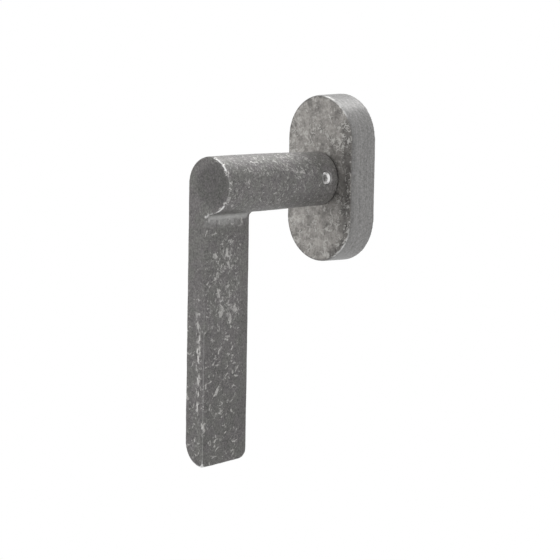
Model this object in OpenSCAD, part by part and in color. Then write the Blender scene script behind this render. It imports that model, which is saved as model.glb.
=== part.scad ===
// Window handle: a cast lever on an oval rose, with a quarter-turn click inside the rose.
// Millimetres. The back of the rose lies in the plane Y = 0 and the spindle runs along Y.
// +Z is up, the arm hangs down, and the handle reaches out towards -Y.

/* [Rose cover] */
// Width of the rose
rose_w = 34.5; // [32:0.5:40]
// Height of the rose
rose_h = 65; // [62:0.5:80]
// How far the rose stands off the sash
rose_depth = 13; // [12.5:0.1:16]
// Wall of the rose's sides
rose_wall = 2.6; // [2:0.1:3]
// Wall of the rose's front
rose_face = 2.8; // [2.2:0.1:3.2]
// Draft of the rose's sides, in degrees
rose_draft = 1.1; // [0.2:0.1:2]
// Rounding of the rose's front edge
rose_edge_r = 1; // [0.5:0.1:1.8]

/* [Neck of the lever] */
// Diameter of the neck where the arm joins it
neck_d = 22; // [21:0.1:25]
// Diameter of the neck beside the rose
neck_root_d = 21; // [20.4:0.1:21]
// Rounding of the neck's edge beside the rose
neck_root_r = 0.3; // [0.3:0.1:1]
// Length of the neck, from the rose's front to its end face
neck_len = 60; // [50:1:75]
// Diameter of the journal that turns in the bush
journal_d = 16; // [15.4:0.1:16.4]

/* [Arm of the lever] */
// Thickness of the arm
arm_t = 9.5; // [8:0.1:10.5]
// Width of the arm, along the neck
arm_w = 23.8; // [19:0.2:26]
// Drop of the arm's lower end below the spindle's axis, at the middle of its width
arm_drop = 106.5; // [80:0.5:130]
// Slant of the arm's lower end, rising towards the rose, in degrees
end_slant = 4; // [0:0.5:6]
// Rounding of the lever's front edges
front_edge_r = 0.6; // [0.4:0.1:1.4]
// Rounding of the arm's outer back edge and back lower corner
back_edge_r = 4.4; // [1.5:0.1:4.6]
// Rounding of the arm's inner back edge and lower edge
inner_edge_r = 0.8; // [0.5:0.1:1.4]
// Fillet between the neck and the arm's inner side
side_fillet_r = 2.5; // [1:0.1:2.5]
// Fillet between the neck and the arm's back
back_fillet_r = 2; // [0.8:0.1:2]

/* [Spindle and drive hub] */
// Width of the square spindle
spindle_w = 7; // [6:0.5:8]
// Reach of the spindle behind the rose
spindle_reach = 12; // [5:1:40]
// Chamfer of the spindle's ends
spindle_chamfer = 0.6; // [0.3:0.1:1]
// Wall of the hub's square sleeve
sleeve_wall = 1.5; // [1.2:0.1:1.6]
// Diameter over the sleeve's turned corners
sleeve_d = 12.6; // [12:0.1:12.8]
// Length of the sleeve inside the neck
sleeve_grip = 14; // [11:0.5:20]
// Diameter of the hub's front journal
hub_front_d = 14; // [13.6:0.1:14.6]
// Diameter of the hub's back journal
hub_back_d = 13; // [12:0.1:14]
// Distance across the hub's four flats
cam_flats = 16; // [15.4:0.1:16.6]
// How far the hub's corners stand out past its flats
cam_rise = 0.8; // [0.5:0.1:1]

/* [Spring pocket] */
// Thickness of a leaf spring
spring_t = 0.5; // [0.3:0.1:0.8]
// Length of a leaf spring
spring_len = 22; // [20:0.5:23]
// Length of the seat at each end of a spring
spring_seat = 2.4; // [1.6:0.1:3]
// Thickness of the base plate's floor
floor_t = 2.4; // [1.8:0.1:3]
// Thickness of the thrust washer
washer_t = 0.5; // [0.3:0.1:0.8]
// Thickness of the retaining plate
plate_t = 1.2; // [0.8:0.1:1.4]
// Width of the retaining plate
plate_w = 25; // [23.6:0.2:26]
// Height of the retaining plate
plate_h = 31; // [30:0.2:32]
// Corner radius of the retaining plate
plate_corner_r = 2; // [1:0.1:3]
// Distance between the plate screws across the plate
plate_screw_dx = 18; // [16:0.2:19]
// Distance between the plate screws up the plate
plate_screw_dz = 26.4; // [26:0.2:27]
// Diameter of a plate screw
plate_screw_d = 2.5; // [2:0.1:2.6]
// Length of a plate screw
plate_screw_len = 6; // [4:0.5:7]
// Diameter of a plate screw's head
plate_head_d = 4.2; // [3.8:0.1:4.2]
// Width across the flats of a plate screw's socket
plate_key = 1.5; // [1.3:0.1:1.6]
// Depth of a plate screw's socket
plate_key_depth = 0.8; // [0.5:0.1:1.2]

/* [Fixing to the sash] */
// Distance between the two fixing screws
screw_spacing = 43; // [42:0.5:44]
// Diameter of a fixing screw
screw_d = 5; // [4:0.5:5]
// Diameter of a fixing screw's plain shank, inside the base plate
screw_shank_d = 4.4; // [3.5:0.1:4.5]
// Length of a fixing screw with its head
screw_len = 20; // [16:1:60]
// Diameter of a fixing screw's head
screw_head_d = 9.2; // [8.6:0.1:9.6]
// Width across the flats of a fixing screw's socket
screw_key = 3; // [2.5:0.1:3.2]
// Depth of a fixing screw's socket
screw_key_depth = 1.9; // [1:0.1:2.5]

/* [Set screw and bush] */
// Diameter of the set screw
grub_d = 5; // [4:0.5:5.5]
// Distance of the set screw's axis from the rose's front
grub_out = 6.5; // [4.5:0.1:8]
// Angle of the set screw above the middle of the neck's side
grub_turn = 6; // [0:1:10]
// Depth of the set screw's end below the neck's surface
grub_sunk = 0.45; // [0.3:0.05:1]
// Diameter of the set screw's point
grub_point_d = 3.5; // [2.5:0.1:3.5]
// Width across the flats of the set screw's socket
grub_key = 2.5; // [2:0.1:2.6]
// Depth of the set screw's socket
grub_key_depth = 2.5; // [1.5:0.1:3]
// Chamfer round the set screw's outer end
grub_chamfer = 0.3; // [0.2:0.05:0.5]
// Width of the flat rim between that chamfer and the chamfered mouth of the socket
grub_rim = 0.15; // [0.1:0.05:0.4]
// Wall of the neck's bush
bush_wall = 1.1; // [0.8:0.1:1.2]
// Thickness of the bush's flange, between the neck and the rose
bush_flange_t = 0.2; // [0.2:0.1:0.8]

/* [Clearances] */
// Radial clearance of a journal in its bore
run_gap = 0.06; // [0.03:0.01:0.09]
// Clearance between pieces that are pushed together
fit_gap = 0.05; // [0.02:0.01:0.08]
// End float between faces that turn on each other
face_gap = 0.1; // [0.05:0.01:0.15]
// Clearance all round the base plate inside the rose
cover_gap = 0.2; // [0.1:0.05:0.3]
// Room between the retaining plate and the rose's front wall
cover_room = 0.6; // [0.4:0.1:0.8]
// Clearance of a screw in its hole
screw_gap = 0.2; // [0.1:0.05:0.3]
// Room behind a leaf spring when a corner of the hub passes it
spring_room = 0.4; // [0.3:0.1:0.8]

/* [Hidden] */
$fn = 96;
// How far a cutter runs past the face that it cuts
past = 1;
// How far a fillet's solid reaches into the pieces that it joins
bite = 1;

// Distances out from the sash, from the back of the rose to the end of the neck
rose_inner = rose_depth - rose_face;
plate_front = rose_inner - cover_room;
base_t = plate_front - plate_t;
cam_back = floor_t + face_gap;
cam_front = base_t - washer_t - 2 * face_gap;
hub_front = plate_front + face_gap;
journal_back = hub_front + face_gap;
shoulder = rose_depth + bush_flange_t + face_gap;
grub_at = rose_depth + grub_out;
sleeve_end = shoulder + sleeve_grip;
socket_end = sleeve_end + 2 * face_gap;
neck_end = rose_depth + neck_len;
arm_back = neck_end - arm_w;

// Radii and widths that follow from the driving sizes
neck_r = neck_d / 2;
neck_root = neck_root_d / 2;
taper_top = arm_back - back_fillet_r;
arm_inner = arm_t - neck_r;
arm_straight = arm_drop - arm_t;
base_w = rose_w - 2 * (rose_wall + cover_gap);
base_h = rose_h - 2 * (rose_wall + cover_gap);
spindle_hole = spindle_w + 2 * fit_gap;
sleeve_w = spindle_hole + 2 * sleeve_wall;
cam_d = cam_flats + 2 * cam_rise;
bush_bore = journal_d + 2 * run_gap;
bush_d = bush_bore + 2 * bush_wall;
bush_flange_d = neck_root_d - 2 * neck_root_r - 2 * face_gap;
spring_x = cam_flats / 2 + fit_gap;
pocket_x = spring_x + spring_t + fit_gap;
pocket_relief_x = cam_d / 2 + spring_t + spring_room;
pocket_h = spring_len + 2 * fit_gap;
grub_end = neck_root - grub_sunk;
grub_mouth_d = grub_d - 2 * (grub_chamfer + grub_rim);

// Turns a piece drawn face on, with X right, Y up and Z out from the sash, into place
module on_sash() {
  rotate([90, 0, 0]) children();
}

// Outline with straight sides and half-round ends
module oval(w, h) {
  square([w, h - w], center = true);
  for (side = [-1, 1])
    translate([0, side * (h - w) / 2]) circle(d = w);
}

// Waste between a sharp corner at the origin, pointing to +X +Y, and an arc that rounds it
module corner_waste(r) {
  translate([-r, -r]) difference() {
    square(r + past);
    circle(r);
  }
}

// Straight hexagonal key socket, sunk down from the origin
module key_socket(across, depth) {
  translate([0, 0, -depth]) cylinder(d = across / cos(30), h = depth + past, $fn = 6);
}

// Right-angled chamfer round the mouth of a socket, its widest circle at the origin
module socket_mouth(d) {
  translate([0, 0, -d / 2]) cylinder(d1 = 0, d2 = d + 2 * past, h = d / 2 + past);
}

// Countersunk screw with a plain shank, its head's face at the origin and its tip towards -Z
module countersunk_screw(d, shank_d, shank_end, head_d, len, key, key_depth) {
  head_t = (head_d - shank_d) / 2;
  difference() {
    union() {
      translate([0, 0, -len]) cylinder(d = d, h = len - shank_end);
      translate([0, 0, -shank_end]) cylinder(d = shank_d, h = shank_end);
      translate([0, 0, -head_t]) cylinder(d1 = shank_d, d2 = head_d, h = head_t);
    }
    key_socket(key, key_depth);
  }
}

// Hole for that screw, with its countersink's mouth at the origin
module countersunk_hole(d, head_d, len) {
  head_t = (head_d - d) / 2;
  translate([0, 0, -len - past]) cylinder(d = d + 2 * screw_gap, h = len + 2 * past);
  translate([0, 0, -head_t]) cylinder(d1 = d + 2 * screw_gap, d2 = head_d + 2 * screw_gap, h = head_t);
}

// Half section of the rose: drafted side and rounded front edge
module rose_section() {
  edge_z = rose_depth - rose_edge_r;
  edge_x = rose_w / 2 - rose_edge_r / cos(rose_draft) - edge_z * tan(rose_draft);
  polygon([
    [0, 0],
    [rose_w / 2, 0],
    [edge_x + rose_edge_r * cos(rose_draft), edge_z + rose_edge_r * sin(rose_draft)],
    [edge_x, rose_depth],
    [0, rose_depth]
  ]);
  translate([edge_x, edge_z]) circle(rose_edge_r);
}

// Solid rose: the section revolved at both ends and run straight between them
module rose_body() {
  straight = rose_h - rose_w;
  for (turn = [0, 180])
    rotate([0, 0, turn]) translate([0, straight / 2, 0]) rotate_extrude(angle = 180) rose_section();
  rotate([90, 0, 0]) linear_extrude(straight, center = true) {
    rose_section();
    mirror([1, 0]) rose_section();
  }
}

module rose_cover() {
  color("gray") on_sash() difference() {
    rose_body();
    translate([0, 0, -past])
      linear_extrude(rose_inner + past) oval(rose_w - 2 * rose_wall, rose_h - 2 * rose_wall);
    cylinder(d = bush_d + 2 * fit_gap, h = rose_depth + past);
  }
}

// Half section of the neck: journal, rounded shoulder, slight taper, rounded end
module neck_section() {
  polygon([
    [0, journal_back],
    [journal_d / 2, journal_back],
    [journal_d / 2, shoulder],
    [neck_root - neck_root_r, shoulder],
    [neck_root, shoulder + neck_root_r],
    [neck_r, taper_top],
    [neck_r, neck_end - front_edge_r],
    [neck_r - front_edge_r, neck_end],
    [0, neck_end]
  ]);
  translate([neck_root - neck_root_r, shoulder + neck_root_r]) circle(neck_root_r);
  translate([neck_r - front_edge_r, neck_end - front_edge_r]) circle(front_edge_r);
}

// Section of the arm, measured from its inner side: the two outer edges are rounded
module arm_section() {
  difference() {
    translate([0, arm_back]) square([arm_t, arm_w]);
    translate([arm_t, neck_end]) corner_waste(front_edge_r);
    translate([arm_t, arm_back]) mirror([0, 1]) corner_waste(back_edge_r);
  }
}

// Waste along the two edges of the arm's inner side
module inner_edge_waste() {
  translate([0, neck_end]) corner_waste(front_edge_r);
  translate([0, arm_back]) mirror([0, 1]) corner_waste(inner_edge_r);
}

// Bar of the arm: the section run straight down, then turned through a quarter circle about its inner side
module arm_bar() {
  difference() {
    translate([arm_inner, 0, 0]) {
      translate([0, 2 * past, 0]) rotate([90, 0, 0])
        linear_extrude(arm_straight + 2 * past) mirror([1, 0]) arm_section();
      translate([0, -arm_straight, 0]) rotate([0, 0, 180]) rotate_extrude(angle = 90) arm_section();
    }
    translate([arm_inner, 3 * past, 0]) rotate([90, 0, 0])
      linear_extrude(arm_drop + 4 * past) inner_edge_waste();
    translate([arm_inner, -arm_drop, arm_back - past])
      linear_extrude(arm_w + 2 * past) mirror([0, 1]) corner_waste(inner_edge_r);
  }
}

// Arm: the bar sheared along itself, which slants its lower end, and cut off level with the spindle's axis
module arm() {
  lean = tan(end_slant);
  difference() {
    multmatrix([
      [1, 0, 0, 0],
      [0, 1, -lean, lean * (arm_back + arm_w / 2)],
      [0, 0, 1, 0]
    ]) arm_bar();
    translate([-neck_d, 0, arm_back - past]) cube([2 * neck_d, neck_d, arm_w + 2 * past]);
  }
}

// Fillet under the neck along the arm's inner side, from halfway round one edge to halfway round the other
module side_fillet() {
  center_x = arm_inner + side_fillet_r;
  reach = neck_r + side_fillet_r;
  center_y = -sqrt(reach * reach - center_x * center_x);
  inside = (neck_r - bite) / reach;
  translate([0, 0, arm_back + inner_edge_r / 2])
    linear_extrude(arm_w - (inner_edge_r + front_edge_r) / 2) difference() {
      polygon([
        [arm_inner - bite, center_y],
        [center_x, center_y],
        [center_x * inside, center_y * inside],
        [arm_inner - bite, center_y * inside]
      ]);
      translate([center_x, center_y]) circle(side_fillet_r);
    }
}

// Fillet under the neck along the arm's back, a quarter ring cut off where the arm's edges round
module back_fillet() {
  intersection() {
    rotate([0, 0, 180]) rotate_extrude(angle = 90) difference() {
      translate([neck_r - bite, arm_back - back_fillet_r])
        square([bite + back_fillet_r, back_fillet_r + bite]);
      translate([neck_r + back_fillet_r, arm_back - back_fillet_r]) circle(back_fillet_r);
    }
    translate([back_edge_r - neck_r, -neck_d, 0])
      cube([arm_t - back_edge_r - inner_edge_r, neck_d, neck_end]);
  }
}

// Square section with turned corners, as of the hub's sleeve and the socket that takes it
module sleeve_section(gap) {
  intersection() {
    square(sleeve_w + 2 * gap, center = true);
    circle(d = sleeve_d + 2 * gap);
  }
}

module lever() {
  color("dimgray") on_sash() difference() {
    union() {
      rotate_extrude() neck_section();
      arm();
      side_fillet();
      back_fillet();
    }
    translate([0, 0, journal_back - past])
      linear_extrude(socket_end - journal_back + past) sleeve_section(fit_gap);
    at_grub() cylinder(d = grub_d + 2 * fit_gap, h = neck_d);
  }
}

// Place of the set screw, whose axis runs out along Z
module at_grub() {
  translate([0, 0, grub_at]) rotate([0, 0, grub_turn]) rotate([0, 90, 0]) children();
}

// Set screw whose tilted faces stay clear of the spindle's and the sleeve's flats
module grub_screw() {
  point_end = (spindle_w / 2 + fit_gap + grub_point_d / 2 * sin(grub_turn)) / cos(grub_turn);
  thread_end = (sleeve_w / 2 + 2 * fit_gap + grub_d / 2 * sin(grub_turn)) / cos(grub_turn);
  color("gainsboro") on_sash() at_grub() difference() {
    union() {
      translate([0, 0, point_end]) cylinder(d = grub_point_d, h = thread_end - point_end);
      translate([0, 0, thread_end]) cylinder(d = grub_d, h = grub_end - grub_chamfer - thread_end);
      translate([0, 0, grub_end - grub_chamfer])
        cylinder(d1 = grub_d, d2 = grub_d - 2 * grub_chamfer, h = grub_chamfer);
    }
    translate([0, 0, grub_end]) {
      key_socket(grub_key, grub_key_depth);
      socket_mouth(grub_mouth_d);
    }
  }
}

// Square bar with its end edges chamfered: the same outline run through from two sides
module spindle() {
  length = spindle_reach + sleeve_end - 2 * face_gap;
  half = spindle_w / 2;
  tip = half - spindle_chamfer;
  color("silver") on_sash() translate([0, 0, -spindle_reach]) intersection_for (turn = [0, 90])
    rotate([90, 0, turn]) linear_extrude(spindle_w, center = true) polygon([
      [-tip, 0],
      [tip, 0],
      [half, spindle_chamfer],
      [half, length - spindle_chamfer],
      [tip, length],
      [-tip, length],
      [-half, length - spindle_chamfer],
      [-half, spindle_chamfer]
    ]);
}

module drive_hub() {
  color("lightsteelblue") on_sash() difference() {
    union() {
      translate([0, 0, face_gap]) cylinder(d = hub_back_d, h = cam_back);
      translate([0, 0, cam_back]) linear_extrude(cam_front - cam_back) intersection() {
        circle(d = cam_d);
        square(cam_flats, center = true);
      }
      translate([0, 0, cam_back]) cylinder(d = hub_front_d, h = hub_front - cam_back);
      translate([0, 0, cam_back]) linear_extrude(sleeve_end - cam_back) sleeve_section(0);
    }
    translate([0, 0, -past]) linear_extrude(sleeve_end + 2 * past) square(spindle_hole, center = true);
    at_grub() cylinder(d = grub_point_d + 2 * screw_gap, h = sleeve_d);
  }
}

module neck_bush() {
  color("black") on_sash() difference() {
    union() {
      translate([0, 0, rose_inner]) cylinder(d = bush_d, h = rose_depth - rose_inner + bush_flange_t);
      translate([0, 0, rose_depth]) cylinder(d = bush_flange_d, h = bush_flange_t);
    }
    translate([0, 0, rose_inner - past]) cylinder(d = bush_bore, h = rose_face + bush_flange_t + 2 * past);
  }
}

// Places of the four plate screws
module at_plate_screws() {
  for (x = [-1, 1], y = [-1, 1])
    translate([x * plate_screw_dx / 2, y * plate_screw_dz / 2, plate_front]) children();
}

// Places of the two fixing screws
module at_fixing_screws() {
  for (side = [-1, 1])
    translate([0, side * screw_spacing / 2, base_t]) children();
}

module base_plate() {
  relief_h = pocket_h - 2 * spring_seat;
  color("darkgray") on_sash() difference() {
    linear_extrude(base_t) oval(base_w, base_h);
    translate([0, 0, floor_t]) linear_extrude(base_t) {
      square([2 * pocket_x, pocket_h], center = true);
      square([2 * pocket_relief_x, relief_h], center = true);
    }
    translate([0, 0, -past]) cylinder(d = hub_back_d + 2 * run_gap, h = base_t);
    at_fixing_screws() countersunk_hole(screw_d, screw_head_d, base_t);
    at_plate_screws() translate([0, 0, -plate_screw_len - fit_gap])
      cylinder(d = plate_screw_d + 2 * fit_gap, h = plate_screw_len + past);
  }
}

// Straight leaf spring on the side that the sign gives
module leaf_spring(side) {
  width = cam_front - cam_back;
  color("slategray") on_sash()
    translate([side * (spring_x + spring_t / 2), 0, cam_back + width / 2])
      cube([spring_t, spring_len, width], center = true);
}

module leaf_spring_left() {
  leaf_spring(-1);
}

module leaf_spring_right() {
  leaf_spring(1);
}

module thrust_washer() {
  color("ivory") on_sash() translate([0, 0, cam_front + face_gap]) difference() {
    cylinder(d = cam_flats, h = washer_t);
    translate([0, 0, -past]) cylinder(d = hub_front_d + 2 * run_gap, h = washer_t + 2 * past);
  }
}

module retaining_plate() {
  color("silver") on_sash() difference() {
    translate([0, 0, base_t]) linear_extrude(plate_t) difference() {
      square([plate_w, plate_h], center = true);
      for (x = [0, 1], y = [0, 1])
        mirror([x, 0]) mirror([0, y]) translate([plate_w / 2, plate_h / 2]) corner_waste(plate_corner_r);
    }
    translate([0, 0, base_t - past]) cylinder(d = hub_front_d + 2 * run_gap, h = plate_t + 2 * past);
    at_plate_screws() countersunk_hole(plate_screw_d, plate_head_d, plate_t);
  }
}

module plate_screws() {
  color("gainsboro") on_sash()
    at_plate_screws()
      countersunk_screw(plate_screw_d, plate_screw_d, plate_t, plate_head_d, plate_screw_len, plate_key,
                        plate_key_depth);
}

module fixing_screws() {
  color("gainsboro") on_sash()
    at_fixing_screws()
      countersunk_screw(screw_d, screw_shank_d, base_t, screw_head_d, screw_len, screw_key,
                        screw_key_depth);
}

lever();
grub_screw();
spindle();
drive_hub();
rose_cover();
neck_bush();
base_plate();
leaf_spring_left();
leaf_spring_right();
thrust_washer();
retaining_plate();
plate_screws();
fixing_screws();
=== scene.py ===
# %% [markdown]
# A cast window handle.
# A round neck turns in an oval rose, and a flat arm hangs from the neck's end.
# The exact solids come from the packed CAD model, which stays where it is as a fixed frame.
# Blender gives them what a drawing can't: the uneven skin of a tumbled casting, worn edges,
# ground sides, threads, light and a camera.

# %% Load the frame
import math
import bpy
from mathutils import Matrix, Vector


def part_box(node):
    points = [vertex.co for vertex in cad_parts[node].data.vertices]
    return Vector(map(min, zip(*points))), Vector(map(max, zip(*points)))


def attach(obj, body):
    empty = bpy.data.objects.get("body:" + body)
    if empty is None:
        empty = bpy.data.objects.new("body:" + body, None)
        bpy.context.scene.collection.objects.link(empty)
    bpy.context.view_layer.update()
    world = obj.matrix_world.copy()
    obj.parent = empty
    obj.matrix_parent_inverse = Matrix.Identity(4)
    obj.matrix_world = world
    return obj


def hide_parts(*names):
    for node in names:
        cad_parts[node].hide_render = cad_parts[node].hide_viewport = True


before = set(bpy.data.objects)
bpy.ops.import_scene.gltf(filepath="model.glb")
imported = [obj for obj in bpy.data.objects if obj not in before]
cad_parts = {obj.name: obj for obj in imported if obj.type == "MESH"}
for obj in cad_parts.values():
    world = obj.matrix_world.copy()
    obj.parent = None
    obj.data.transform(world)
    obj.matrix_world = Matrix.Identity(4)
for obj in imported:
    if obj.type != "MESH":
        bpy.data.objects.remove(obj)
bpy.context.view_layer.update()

from types import SimpleNamespace

import bmesh
import bpy
from mathutils import Matrix, Vector

MM = 0.001

# %% [markdown]
# The camera comes first, because every later choice is judged through it.
# A long lens, far away, keeps the neck's sides almost parallel, as a catalogue picture does.
# The place is written as a direction round the object and a distance from a point that it aims at,
# and the sideways lean of the picture is a turn about the line of sight.

# %% Camera
SENSOR_MM = 36
NEAREST_M, FARTHEST_M = 0.05, 60


def look_from(azimuth, elevation, lean, distance, aim, focal_px, image_px):
    """Camera that sees the aim point in the middle of a square picture."""
    a, e, t = (math.radians(v) for v in (azimuth, elevation, lean))
    back = Vector((math.sin(a) * math.cos(e), -math.cos(a) * math.cos(e), math.sin(e)))
    right = Vector((math.cos(a), math.sin(a), 0))
    up = back.cross(right)
    side = right * math.cos(t) + up * math.sin(t)
    top = up * math.cos(t) - right * math.sin(t)
    data = bpy.data.cameras.new("camera")
    data.sensor_width = SENSOR_MM
    data.lens = focal_px / image_px * SENSOR_MM
    data.clip_start, data.clip_end = NEAREST_M, FARTHEST_M
    camera = bpy.data.objects.new("camera", data)
    turn = Matrix((side, top, back)).transposed()
    camera.matrix_world = Matrix.Translation(aim + back * distance) @ turn.to_4x4()
    bpy.context.scene.collection.objects.link(camera)
    bpy.context.scene.camera = camera
    return camera


camera = look_from(azimuth=43.908, elevation=6.484, lean=0.984, distance=1.190122,
                   aim=Vector((2.064, -36, -37.852)) * MM, focal_px=3107.639, image_px=560)
print("lens in mm:", round(camera.data.lens, 2))

# %% [markdown]
# Shader maths reads best as sums.
# This small class holds one socket of a node tree. A plus, minus, times or divide adds a Math node,
# also when the number comes first, and node() adds any other node: its settings go in before its sockets,
# because a setting can change which sockets there are.
# Geometry trees use the same nodes, so the class serves them too.

# %% A socket that can be used in sums
class Wire:
    """A socket of a node tree, or with no socket the place where a tree starts."""

    def __init__(self, tree, socket=None):
        self.tree, self.socket = tree, socket

    def node(self, kind, settings=None, sockets=None, out=0):
        """Adds a node and gives the wire from one of its outputs."""
        made = self.tree.nodes.new(kind)
        for name, value in (settings or {}).items():
            setattr(made, name, value)
        for name, value in (sockets or {}).items():
            if isinstance(value, Wire):
                self.tree.links.new(value.socket, made.inputs[name])
            else:
                made.inputs[name].default_value = value
        return Wire(self.tree, made.outputs[out]) if made.outputs else Wire(self.tree)

    def out(self, name):
        """Another output of the node that this wire comes from."""
        return Wire(self.tree, self.socket.node.outputs[name])

    def maths(self, operation, *values):
        """A Math node on wires or numbers."""
        return self.node("ShaderNodeMath", {"operation": operation}, dict(enumerate(values)))

    def vector(self, operation, sockets, out=0):
        """A Vector Math node."""
        return self.node("ShaderNodeVectorMath", {"operation": operation}, sockets, out)

    def ramp(self, low, high, start=0.0, end=1.0):
        """Goes smoothly from start to end while this value goes from low to high; high may be below low."""
        return self.node("ShaderNodeMapRange", {"interpolation_type": "SMOOTHSTEP"},
                         {"Value": self, "From Min": low, "From Max": high, "To Min": start, "To Max": end})

    def tint(self, first, second):
        """Mixes two colours by this value."""
        return self.node("ShaderNodeMix", {"data_type": "RGBA"}, {0: self, 6: first, 7: second}, 2)

    def __add__(self, other):
        return self.maths("ADD", self, other)

    def __radd__(self, other):
        return self.maths("ADD", other, self)

    def __sub__(self, other):
        return self.maths("SUBTRACT", self, other)

    def __rsub__(self, other):
        return self.maths("SUBTRACT", other, self)

    def __mul__(self, other):
        return self.maths("MULTIPLY", self, other)

    def __rmul__(self, other):
        return self.maths("MULTIPLY", other, self)

    def __truediv__(self, other):
        return self.maths("DIVIDE", self, other)

    def __rtruediv__(self, other):
        return self.maths("DIVIDE", other, self)


print("a wire has", len([k for k in vars(Wire) if k.startswith("__r")]), "reflected operators")

# %% [markdown]
# The studio is a pale floor well below the handle, a wide soft light overhead and a weak one in front.
# The floor could be lit until it is white, but that would bleach the metal too.
# Instead the rays that the camera sends out, and those that a mirror or glass passes on, find white away
# from the handle, while the floor under it stays a plain matt surface that takes its shadow.

# %% Background and floor
WHITE = (1, 1, 1, 1)
MATT_FLOOR = (0.8, 0.8, 0.8, 1)
scene = bpy.context.scene
scene.view_settings.view_transform = "Standard"


def seen_directly(tree):
    """1 for a ray from the camera, or one that metal or glass passes on, and 0 for other light."""
    path = Wire(tree).node("ShaderNodeLightPath", out="Is Camera Ray")
    passed_on = path.maths("MAXIMUM", path.out("Is Glossy Ray"), path.out("Is Transmission Ray"))
    return path.maths("MAXIMUM", path, passed_on)


def white_surroundings(strength):
    """World that looks white and lights the object at the strength given."""
    world = bpy.data.worlds.new("studio")
    world.use_nodes = True
    tree = world.node_tree
    tree.nodes.clear()
    start = Wire(tree)
    light = start.node("ShaderNodeBackground", None, {"Color": WHITE, "Strength": strength})
    white = start.node("ShaderNodeBackground", None, {"Color": WHITE, "Strength": 1})
    mixed = start.node("ShaderNodeMixShader", None, {0: seen_directly(tree), 1: light, 2: white})
    start.node("ShaderNodeOutputWorld", None, {"Surface": mixed})
    scene.world = world


def pale_floor(height, reach, clear):
    """Floor that is matt under the object and white from a distance."""
    mesh = bpy.data.meshes.new("floor")
    sheet = bmesh.new()
    bmesh.ops.create_grid(sheet, x_segments=8, y_segments=8, size=reach)
    bmesh.ops.translate(sheet, verts=sheet.verts, vec=(0, 0, height))
    sheet.to_mesh(mesh)
    sheet.free()
    floor = bpy.data.objects.new("floor", mesh)
    scene.collection.objects.link(floor)
    material = bpy.data.materials.new("pale_floor")
    material.use_nodes = True
    tree = material.node_tree
    tree.nodes.clear()
    start = Wire(tree)
    flat = start.vector("MULTIPLY", {0: start.node("ShaderNodeTexCoord", out="Object"), 1: (1, 1, 0)})
    far = flat.vector("LENGTH", {0: flat}, "Value").ramp(*clear) * seen_directly(tree)
    matt = start.node("ShaderNodeBsdfDiffuse", None, {"Color": MATT_FLOOR})
    white = start.node("ShaderNodeEmission", None, {"Color": WHITE, "Strength": 1})
    mixed = start.node("ShaderNodeMixShader", None, {0: far, 1: matt, 2: white})
    start.node("ShaderNodeOutputMaterial", None, {"Surface": mixed})
    mesh.materials.append(material)
    return floor


white_surroundings(strength=0.6)
floor = pale_floor(height=-0.2, reach=30, clear=(0.08, 0.24))
print("floor height in mm:", round(floor.data.vertices[0].co.z / MM, 1))

# %% [markdown]
# The lamps are two rectangles, because a small lamp would draw hard shadows and a spot on the metal.
# The wide one hangs behind and to the left: it lights the tops of neck and rose and leaves their sides even.
# Each is described by how bright it looks, so that a change of its size doesn't change the exposure much.

# %% Lamps
def softbox(name, place, aim, size, brightness):
    """Area lamp of a given radiance, whatever its size."""
    data = bpy.data.lights.new(name, "AREA")
    data.shape = "RECTANGLE"
    data.size, data.size_y = size
    data.energy = brightness * math.pi * size[0] * size[1]
    lamp = bpy.data.objects.new(name, data)
    lamp.location = place
    lamp.rotation_euler = (Vector(aim) - Vector(place)).to_track_quat("-Z", "Y").to_euler()
    lamp.visible_camera = False
    scene.collection.objects.link(lamp)
    return lamp


lamps = [
    softbox("overhead", place=(-0.33, 0.5, 1.12), aim=(0, -0.03, -0.03), size=(1.2, 1.0), brightness=3.1),
    softbox("front", place=(-0.5, -1.4, 0.5), aim=(0, -0.03, -0.04), size=(0.9, 0.9), brightness=1.0),
]
print("lamps in watts:", {lamp.name: round(lamp.data.energy, 2) for lamp in lamps})

# %% [markdown]
# The lever and the rose are castings that were tumbled with stones.
# Tumbling leaves no face quite flat and no edge quite sharp, and it rubs the edges bright.
# A copy of each solid is cut into small even squares by a voxel remesh, because a CAD mesh has long thin
# triangles that can't carry a wave. A Geometry Nodes tree then sets each point back on the exact form,
# softens it a little, stores how far it stands out from its surroundings, which is where wear comes, and
# which way it faces, and pulls the skin in by a slow uneven wave.
# The wave only moves the skin inwards, so the piece stays inside its solid's box. Where the neck turns inside
# the rose the wave stops, and the skin keeps an even distance for the running fit.

# %% Geometry tree of the tumbled skin
GRAIN_PER_METRE = 900.0


def group_input(tree, name, kind, value=None):
    """Adds a named input to a geometry tree."""
    made = tree.interface.new_socket(name=name, in_out="INPUT", socket_type="NodeSocket" + kind)
    if value is not None:
        made.default_value = value


def stored(geometry, name, value, kind="FLOAT"):
    """Geometry with a value kept on its points, for a finish to read."""
    return geometry.node("GeometryNodeStoreNamedAttribute", {"data_type": kind, "domain": "POINT"},
                         {"Geometry": geometry, "Name": name, "Value": value})


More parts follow.
